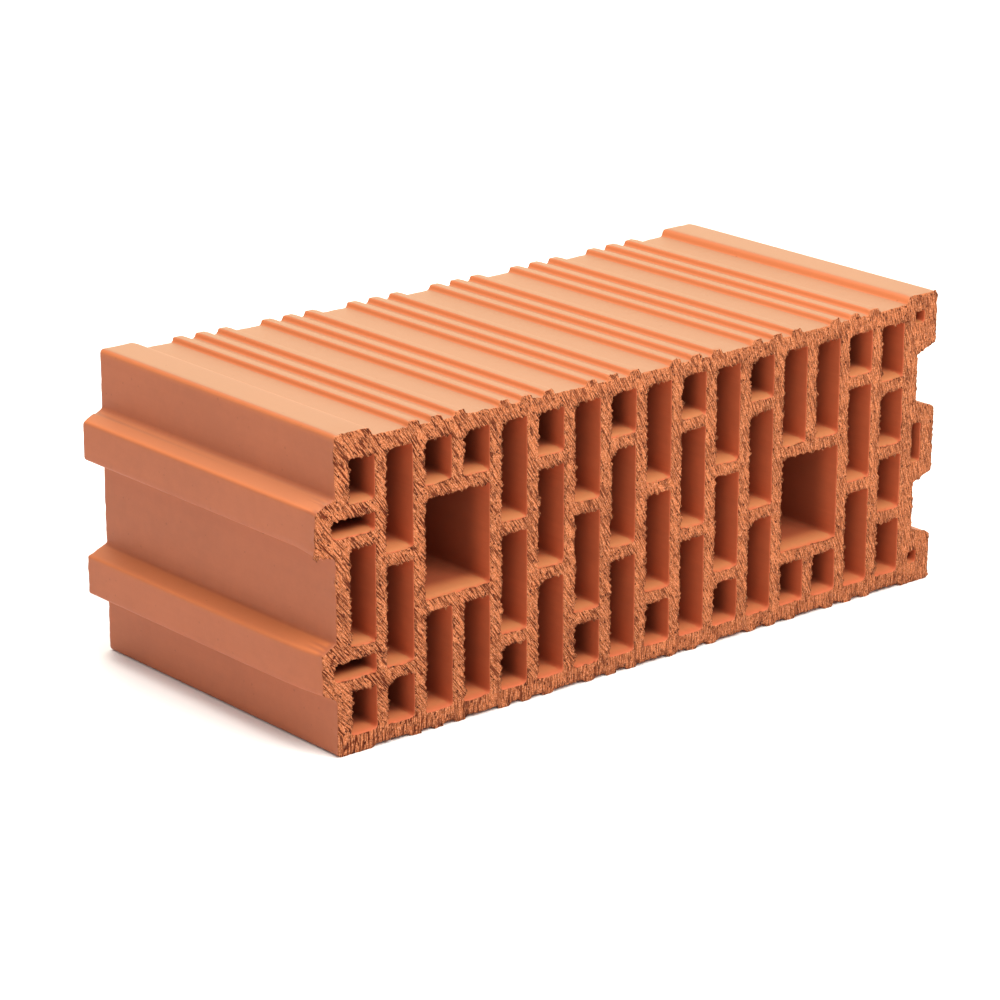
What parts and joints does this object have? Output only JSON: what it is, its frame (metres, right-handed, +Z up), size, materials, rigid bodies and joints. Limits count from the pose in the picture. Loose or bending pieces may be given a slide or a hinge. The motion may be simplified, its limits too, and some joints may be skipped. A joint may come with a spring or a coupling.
{
  "type": "hollow clay brick",
  "caption": "Hollow fired-clay wall block with through chambers, finger grip holes, tongue-and-groove heads and ridged plaster faces, lying on a plaster face.",
  "frame": {"origin": "centre of the box round the block, on the ground that it lies on", "axes": "+X along the wall from the tongue head to the groove head, +Y along the chambers to the far cut face, +Z up through the thickness of the wall"},
  "size_m": [0.5146, 0.238, 0.2],
  "materials": {
    "fired_clay": "matte fired clay"
  },
  "bodies": {
    "root": {"brick": "fired_clay"}
  },
  "joints": []
}
